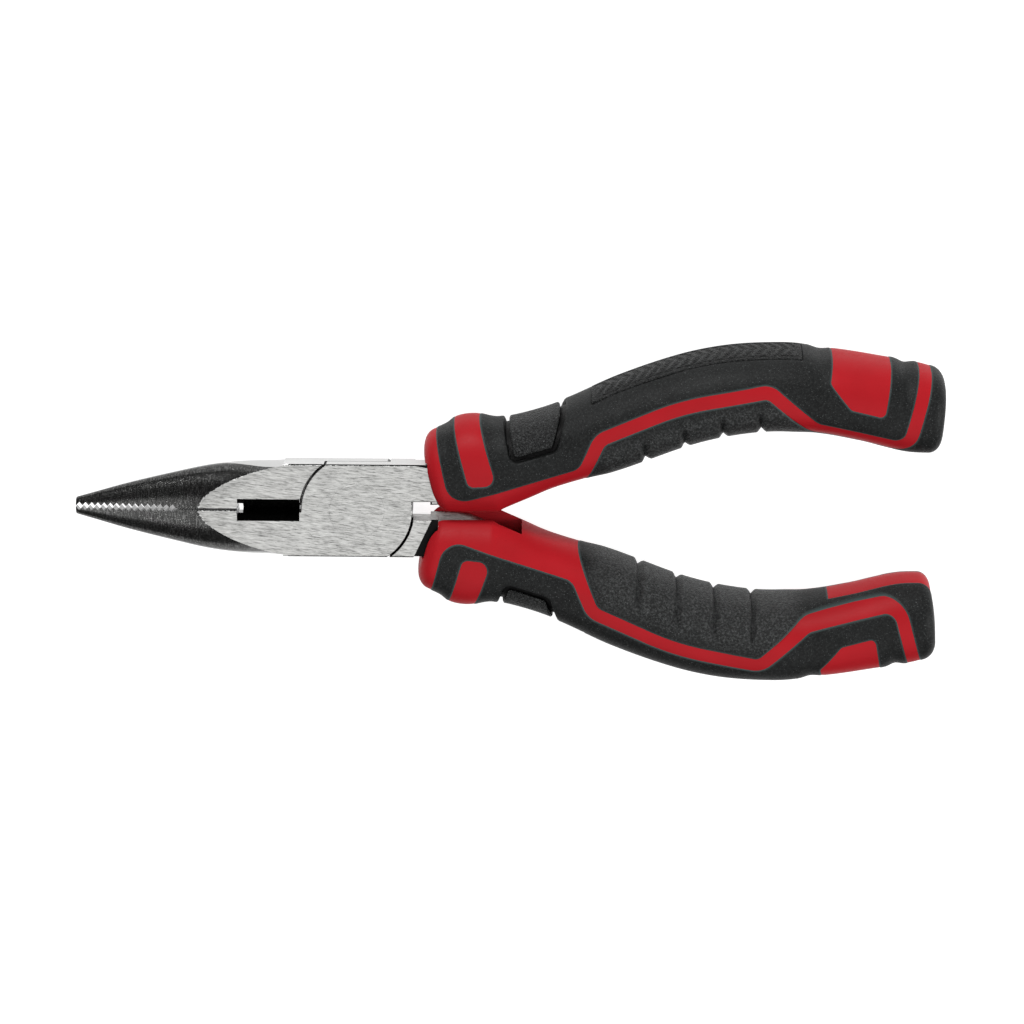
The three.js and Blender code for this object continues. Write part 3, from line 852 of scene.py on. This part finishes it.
def kept(bm, name, within, without=()):
    """A new mesh object of the faces inside the fields in within and outside those in without."""
    part = bm.copy()
    into = [part.verts.layers.float[key] for key in within]
    out_of = [part.verts.layers.float[key] for key in without]
    doomed = [face for face in part.faces
              if any(face_value(face, layer) <= 0 for layer in into)
              or any(face_value(face, layer) > 0 for layer in out_of)]
    bmesh.ops.delete(part, geom=doomed, context="FACES")
    return object_of(part, name)


def values_of(mesh, key):
    data = np.zeros(len(mesh.vertices))
    mesh.attributes[key].data.foreach_get("value", data)
    return data


def coordinates(mesh):
    data = np.zeros(len(mesh.vertices) * 3)
    mesh.vertices.foreach_get("co", data)
    return data.reshape(-1, 3)


def directions(mesh):
    data = np.zeros(len(mesh.vertices) * 3)
    mesh.vertex_normals.foreach_get("vector", data)
    return data.reshape(-1, 3)


def raise_by(mesh, normals, height):
    co = coordinates(mesh) + normals * height[:, None]
    mesh.vertices.foreach_set("co", co.ravel())
    mesh.update()


def rim(distance, radius, drop):
    """Height of a surface that rolls down by drop within radius of its edge."""
    t = np.clip(distance / radius, 0, 1)
    return -drop * (1 - np.sqrt(np.clip(1 - (1 - t) ** 2, 0, 1)))


def set_attribute(mesh, name, values):
    layer = mesh.attributes.new(name, "FLOAT", "POINT")
    layer.data.foreach_set("value", np.asarray(values, np.float32))


def thicken(obj, depth):
    """Gives an open skin its thickness, inwards."""
    modifier = obj.modifiers.new("thickness", "SOLIDIFY")
    modifier.thickness = depth
    modifier.offset = -1
    return applied(obj)


GROOVES = [54.6, 62.0, 69.2, 76.4]
GROOVE_DEPTH = 0.9
GROOVE_HALF_WIDTH = 0.9
GROOVE_SLANT = 0.12  # in X for each millimetre of height on the handle
PROUD = 0.1  # how far the skins stand out of the core
RIB_PITCH = 2.0
TAIL_WAIST = 103.7
TAIL_WAIST_DEPTH = 0.5
RIM_RADIUS = 0.45
RIM_DROP = 0.12
EDGE_BAND = 0.9  # width of the paler band along a skin's edge, a painted highlight
PLAIN_GRAIN = 0.25
BACK_SKIN_DEPTH = 1.1
FINGER_SKIN_DEPTH = 1.0
PAD_DEPTH = 0.8


def finger_relief(co):
    """Cross grooves between the finger pads, and how strongly the pads' grain shows."""
    x, y, _ = co.T
    rise = y - through(INNER)(x)
    reach = 1 - smooth_step(3.8, 6.4, rise)
    height = np.zeros(len(x))
    for g in GROOVES:
        across = np.abs(x - g + GROOVE_SLANT * rise)
        height -= GROOVE_DEPTH * np.clip(1 - across / GROOVE_HALF_WIDTH, 0, 1) ** 1.3 * reach
    zone = smooth_step(43.5, 48, x) * (1 - smooth_step(82, 87, x))
    return height + 0.2 * zone * reach, zone * (1 - smooth_step(5.0, 8.5, rise))


def shaped(obj, height, edge, grain):
    """Raises a skin's surface and stores what its material reads."""
    mesh = obj.data
    raise_by(mesh, directions(mesh), height)
    set_attribute(mesh, "edge", np.clip(edge, 0, 1))
    set_attribute(mesh, "grain", grain)
    return obj


def make_back_skin(bm):
    obj = kept(bm, "back_skin", ["back"], ["panel"])
    distance = values_of(obj.data, "back")
    pocket = values_of(obj.data, "pad") + PAD_GROOVE
    gap = -values_of(obj.data, "panel")
    height = PROUD + rim(distance, RIM_RADIUS, RIM_DROP) + rim(np.clip(gap, 0, 9), 0.3, 0.3)
    height += np.where(pocket < 0, rim(-pocket, 0.25, 0.15), -0.95 * np.clip(pocket / 0.1, 0, 1) - 0.15)
    x, y, _ = coordinates(obj.data).T
    height -= TAIL_WAIST_DEPTH * np.exp(-((x - TAIL_WAIST) / 1.3) ** 2) * smooth_step(20, 26, y)
    shaped(obj, height, distance / EDGE_BAND, np.full(len(distance), PLAIN_GRAIN))
    # Painted shade: the groove around the thumb pad is darkened to near black in the material.
    set_attribute(obj.data, "groove_shade", smooth_step(0.0, 0.12, pocket))
    return shade(thicken(obj, BACK_SKIN_DEPTH))


def make_finger_skin(bm):
    obj = kept(bm, "finger_skin", ["finger"])
    distance = values_of(obj.data, "finger")
    relief, grain = finger_relief(coordinates(obj.data))
    height = PROUD + rim(distance, RIM_RADIUS, RIM_DROP) + relief
    shaped(obj, height, distance / EDGE_BAND, PLAIN_GRAIN + (1 - PLAIN_GRAIN) * grain)
    return shade(thicken(obj, FINGER_SKIN_DEPTH))


def make_thumb_pad(bm):
    obj = kept(bm, "thumb_pad", ["pad"])
    distance = values_of(obj.data, "pad")
    shaped(obj, rim(distance, 0.25, 0.25) - 0.05, np.ones(len(distance)), np.ones(len(distance)))
    return shade(thicken(obj, PAD_DEPTH))


def make_back_panel(bm):
    obj = kept(bm, "back_panel", ["panel"])
    distance = values_of(obj.data, "panel")
    x, _, z = coordinates(obj.data).T
    wave = 0.5 + 0.5 * np.cos(2 * math.pi * (x + 0.6 * np.abs(z)) / RIB_PITCH)
    ribs = smooth_step(0.3, 0.7, wave) * smooth_step(1.0, 1.3, distance)
    border = 1 - smooth_step(0.7, 0.9, distance)
    height = PROUD - 0.15 + rim(distance, 0.2, 0.2) + 0.2 * np.maximum(ribs, border)
    shaped(obj, height, np.ones(len(x)), 0.5 + 0.5 * ribs)
    return shade(thicken(obj, PAD_DEPTH))


def make_core(bm):
    """The whole grip body, sunk under the skins, with the tang's socket and the open channel."""
    body = bm.copy()
    direction = body.verts.layers.float_vector.new("direction")
    body.normal_update()
    for vertex in body.verts:
        vertex[direction] = vertex.normal
    back = body.verts.layers.float["back"]
    finger = body.verts.layers.float["finger"]
    under = [f for f in body.faces if face_value(f, back) > 0 or face_value(f, finger) > 0]
    sunk = bmesh.ops.extrude_face_region(body, geom=under)
    bmesh.ops.delete(body, geom=[f for f in under if f.is_valid], context="FACES")
    for vertex in (g for g in sunk["geom"] if isinstance(g, bmesh.types.BMVert)):
        vertex.co -= vertex[direction] * CORE_SINK
    core = object_of(body, "core")
    half = THICKNESS / 2 + GAP
    root_end = ROOT_END + SEAT["upper"] + 0.05
    root = box_object("root", (0, ROOT_INNER - GAP, -half), (root_end, JOINT_HALF_WIDTH + GAP, half))
    root.data.transform(leaning(CANT))
    core = boolean(core, root, "DIFFERENCE")
    depth = TANG_HALF_DEPTH + GAP
    slack = GAP + SEAT["upper"]
    tang = prism_object("socket", tang_outline(slack), -depth, depth, TANG_CHAMFER)
    core = boolean(core, tang, "DIFFERENCE")
    at_pivot, at_end = CHANNEL_TOP
    channel = [(0, -FAR), (CHANNEL_END, -FAR), (CHANNEL_END, at_end), (0, at_pivot)]
    core = boolean(core, prism_object("channel", channel, -depth, depth), "DIFFERENCE")
    return shade(core)


def make_grips():
    bm = grip_surface()
    skin = black_rubber("black_skin", 2600, 0.0003)
    pad = black_rubber("pad_rubber", 3000, 0.0004, 1.2)
    pieces = [
        ("grip_core", make_core(bm), red_plastic(), "red_plastic"),
        ("grip_back_skin", make_back_skin(bm), skin, "black_skin"),
        ("grip_finger_skin", make_finger_skin(bm), skin, "black_skin"),
        ("thumb_pad", make_thumb_pad(bm), pad, "pad_rubber"),
        ("back_panel", make_back_panel(bm), pad, "pad_rubber"),
    ]
    bm.free()
    for node, obj, material, slot in pieces:
        obj.data.materials.clear()
        obj.data.materials.append(material)
        twin = copy_of(obj, f"{node}_moulding_lower")
        obj.name = f"{node}_moulding_upper"
        for one, side, body, turned in ((obj, "upper", FRONT, False), (twin, "lower", BACK, True)):
            one.data.transform(Matrix.Translation((SEAT[side], 0, 0)) @ leaning(-CANT))
            to_frame(one, turned)
            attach(one, body)
            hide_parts(f"{node}_{side}")


# ---- Setting ----

def make_floor():
    low, high = CAD_BOX
    reach = 0.9
    x = (low[0] + high[0]) / 2
    z = low[2] - 0.0003
    corners = [(x - reach, -reach, z), (x + reach, -reach, z), (x + reach, reach, z), (x - reach, reach, z)]
    mesh = bpy.data.meshes.new("floor")
    mesh.from_pydata(corners, [], [(0, 1, 2, 3)])
    floor = bpy.data.objects.new("floor", mesh)
    bpy.context.collection.objects.link(floor)
    n = Nodes("light_table", Roughness=0.9, Emission_Color=(1, 1, 1, 1), Emission_Strength=0.85)
    tone = n.ramp(n.noise(30, 3, 0.5), [(0.3, 0.36), (0.7, 0.4)])
    mesh.materials.append(n.finish(tone))


def area_light(name, place, aim, size, power):
    light = bpy.data.lights.new(name, "AREA")
    light.size = size
    light.energy = power
    obj = bpy.data.objects.new(name, light)
    obj.location = place
    obj.rotation_euler = (Vector(aim) - Vector(place)).to_track_quat("-Z", "Y").to_euler()
    bpy.context.collection.objects.link(obj)


def make_light():
    world = bpy.data.worlds.new("studio")
    world.use_nodes = True
    world.node_tree.nodes["Background"].inputs["Color"].default_value = (1, 1, 1, 1)
    world.node_tree.nodes["Background"].inputs["Strength"].default_value = 0.2
    bpy.context.scene.world = world
    aim = (0.03, 0, 0.004)
    area_light("overhead", (0.0, -0.3, 1.0), aim, 1.1, 7)
    area_light("window", (-0.1, 0.7, 0.42), aim, 0.2, 5)
    area_light("side", (0.8, 0.0, 0.4), aim, 0.25, 4)
    bpy.context.scene.view_settings.view_transform = "Standard"


def make_camera():
    """Looks down on the front face, tipped a little towards the upper handle."""
    tilt = math.radians(8.6)
    roll = math.radians(0.5)
    distance = 0.85
    frame_width = 0.195
    towards = Vector((0, math.sin(tilt), math.cos(tilt)))
    target = Vector((0.0296, 0.00005, RIVET_BOX[1][2]))
    camera = bpy.data.cameras.new("camera")
    camera.sensor_width = 36
    camera.lens = 36 * distance / frame_width
    camera.clip_start = 0.01
    obj = bpy.data.objects.new("camera", camera)
    up = Vector((0, math.cos(tilt), -math.sin(tilt)))
    axes = Matrix((Vector((1, 0, 0)), up, towards)).transposed().to_4x4()
    obj.matrix_world = Matrix.Translation(target + towards * distance) @ axes @ Matrix.Rotation(roll, 4, "Z")
    bpy.context.collection.objects.link(obj)
    bpy.context.scene.camera = obj


make_camera()
make_levers()
make_grips()
make_floor()
make_light()
